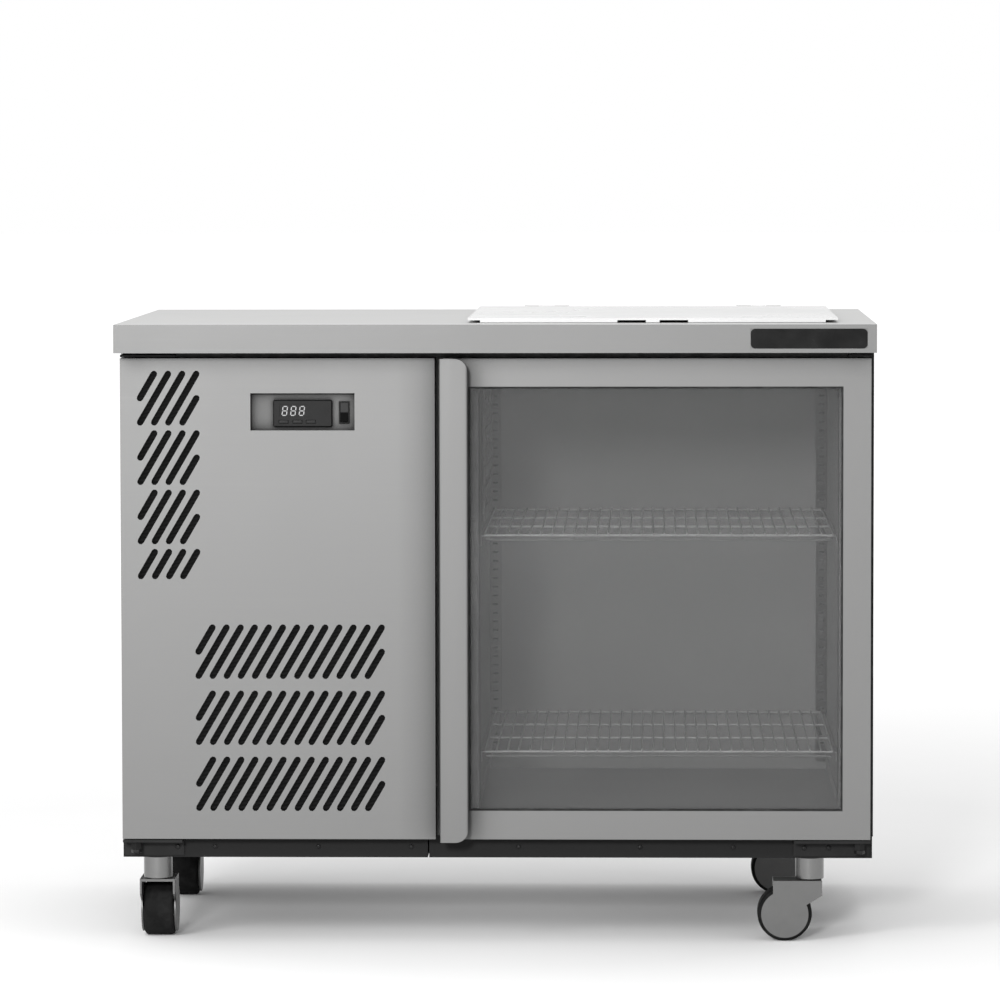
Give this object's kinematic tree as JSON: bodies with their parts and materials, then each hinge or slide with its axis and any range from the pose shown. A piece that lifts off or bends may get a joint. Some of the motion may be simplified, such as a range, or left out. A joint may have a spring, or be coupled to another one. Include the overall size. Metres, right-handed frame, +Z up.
{
  "type": "under counter refrigerator",
  "caption": "Stainless steel under counter refrigerator with a glass door, a side refrigeration unit, a lidded pan well in the worktop and swivel castors.",
  "frame": {"origin": "on the floor, below the middle of the cabinet's bounding box", "axes": "+X to the right and +Y to the back as seen by somebody facing the door, +Z up"},
  "size_m": [1.05, 0.7, 0.8728],
  "materials": {
    "stainless": "brushed stainless sheet",
    "galvanised": "galvanised sheet",
    "dark_steel": "dark painted steel",
    "aluminium_fins": "pressed fins",
    "copper_tube": "drawn copper",
    "black_paint": "black enamel",
    "black_plastic": "moulded",
    "grey_plastic": "moulded",
    "white_plastic": "translucent sheet",
    "glass": "toughened clear pane",
    "rubber": "extruded seal",
    "castor_rubber": "worn tread",
    "chrome": "plated"
  },
  "bodies": {
    "cabinet": {"cabinet_base": "dark_steel", "control_bracket": "dark_steel", "controller_housing": "black_plastic", "castor_front_left_stem": "chrome", "castor_front_right_stem": "chrome", "castor_rear_left_stem": "chrome", "castor_rear_right_stem": "chrome", "compressor": "black_paint", "condenser_coil": "aluminium_fins", "condenser_fan_motor": "black_paint", "condenser_fan_shroud": "black_paint", "door_hinge_lower": "dark_steel", "door_hinge_upper": "dark_steel", "evaporator_coil": "aluminium_fins", "evaporator_fan_motor": "black_paint", "evaporator_grille": "stainless", "evaporator_housing": "galvanised", "filter_drier": "copper_tube", "insulated_cabinet": "stainless", "name_plate": "black_plastic", "pan_half_front": "stainless", "pan_half_rear": "stainless", "pan_long_right": "stainless", "panel_hinge_lower": "dark_steel", "panel_hinge_upper": "dark_steel", "pilaster_left": "stainless", "pilaster_right": "stainless", "shelf_lower": "stainless", "shelf_upper": "stainless", "shelf_runner_upper_left": "stainless", "shelf_runner_upper_right": "stainless", "shelf_runner_lower_left": "stainless", "shelf_runner_lower_right": "stainless", "side_panel_left": "stainless", "unit_back_cover": "galvanised", "unit_base_tray": "dark_steel", "well_frame": "stainless", "worktop": "stainless"},
    "door": {"door_frame": "stainless", "door_glass_outer": "glass", "door_glass_inner": "glass", "glazing_spacer": "black_plastic", "door_gasket": "rubber", "door_handle": "stainless"},
    "service_panel": {"service_panel": "stainless"},
    "lid": {"lid": "white_plastic"},
    "condenser_fan": {"condenser_fan": "black_plastic"},
    "evaporator_fan": {"evaporator_fan": "black_plastic"},
    "power_rocker": {"power_rocker": "black_plastic"},
    "castor_front_left_fork": {"castor_front_left_fork": "grey_plastic"},
    "castor_front_left_wheel": {"castor_front_left_wheel": "castor_rubber"},
    "castor_rear_left_fork": {"castor_rear_left_fork": "grey_plastic"},
    "castor_rear_left_wheel": {"castor_rear_left_wheel": "castor_rubber"},
    "castor_front_right_fork": {"castor_front_right_fork": "grey_plastic"},
    "castor_front_right_wheel": {"castor_front_right_wheel": "castor_rubber"},
    "castor_rear_right_fork": {"castor_rear_right_fork": "grey_plastic"},
    "castor_rear_right_wheel": {"castor_rear_right_wheel": "castor_rubber"},
    "controller_button_1": {"controller_button_1": "black_plastic"},
    "controller_button_2": {"controller_button_2": "black_plastic"},
    "controller_button_3": {"controller_button_3": "black_plastic"}
  },
  "joints": [
    {"name": "door_hinge", "type": "hinge", "parent": "cabinet", "child": "door", "pos_m": [0.505, -0.284, 0.48], "axis": [0, 0, 1], "range_deg": [0, 105]},
    {"name": "service_panel_hinge", "type": "hinge", "parent": "cabinet", "child": "service_panel", "pos_m": [-0.503, -0.284, 0.48], "axis": [0, 0, -1], "range_deg": [0, 95]},
    {"name": "lid_hinge", "type": "hinge", "parent": "cabinet", "child": "lid", "pos_m": [0.2175, 0.286, 0.8698], "axis": [-1, 0, 0], "range_deg": [0, 100]},
    {"name": "condenser_fan_spin", "type": "hinge", "parent": "cabinet", "child": "condenser_fan", "pos_m": [-0.275, -0.1315, 0.3], "axis": [0, 1, 0], "continuous": true},
    {"name": "evaporator_fan_spin", "type": "hinge", "parent": "cabinet", "child": "evaporator_fan", "pos_m": [-0.075, 0, 0.674], "axis": [1, 0, 0], "continuous": true},
    {"name": "power_rocker_tilt", "type": "hinge", "parent": "cabinet", "child": "power_rocker", "pos_m": [-0.2103, -0.2865, 0.7413], "axis": [1, 0, 0], "range_deg": [0, 14]},
    {"name": "castor_front_left_swivel", "type": "hinge", "parent": "cabinet", "child": "castor_front_left_fork", "pos_m": [-0.477, -0.24, 0.085], "axis": [0, 0, 1], "continuous": true},
    {"name": "castor_front_left_roll", "type": "hinge", "parent": "castor_front_left_fork", "child": "castor_front_left_wheel", "pos_m": [-0.477, -0.205, 0.038], "axis": [1, 0, 0], "continuous": true},
    {"name": "castor_rear_left_swivel", "type": "hinge", "parent": "cabinet", "child": "castor_rear_left_fork", "pos_m": [-0.477, 0.244, 0.085], "axis": [0, 0, 1], "continuous": true},
    {"name": "castor_rear_left_roll", "type": "hinge", "parent": "castor_rear_left_fork", "child": "castor_rear_left_wheel", "pos_m": [-0.477, 0.209, 0.038], "axis": [1, 0, 0], "continuous": true},
    {"name": "castor_front_right_swivel", "type": "hinge", "parent": "cabinet", "child": "castor_front_right_fork", "pos_m": [0.437, -0.24, 0.085], "axis": [0, 0, 1], "continuous": true},
    {"name": "castor_front_right_roll", "type": "hinge", "parent": "castor_front_right_fork", "child": "castor_front_right_wheel", "pos_m": [0.402, -0.24, 0.038], "axis": [0, 1, 0], "continuous": true},
    {"name": "castor_rear_right_swivel", "type": "hinge", "parent": "cabinet", "child": "castor_rear_right_fork", "pos_m": [0.437, 0.244, 0.085], "axis": [0, 0, 1], "continuous": true},
    {"name": "castor_rear_right_roll", "type": "hinge", "parent": "castor_rear_right_fork", "child": "castor_rear_right_wheel", "pos_m": [0.402, 0.244, 0.038], "axis": [0, 1, 0], "continuous": true},
    {"name": "controller_button_1_press", "type": "slide", "parent": "cabinet", "child": "controller_button_1", "axis": [0, 1, 0], "range_m": [0, 0.0012], "stiffness_N_per_m": 900},
    {"name": "controller_button_2_press", "type": "slide", "parent": "cabinet", "child": "controller_button_2", "axis": [0, 1, 0], "range_m": [0, 0.0012], "stiffness_N_per_m": 900},
    {"name": "controller_button_3_press", "type": "slide", "parent": "cabinet", "child": "controller_button_3", "axis": [0, 1, 0], "range_m": [0, 0.0012], "stiffness_N_per_m": 900}
  ]
}
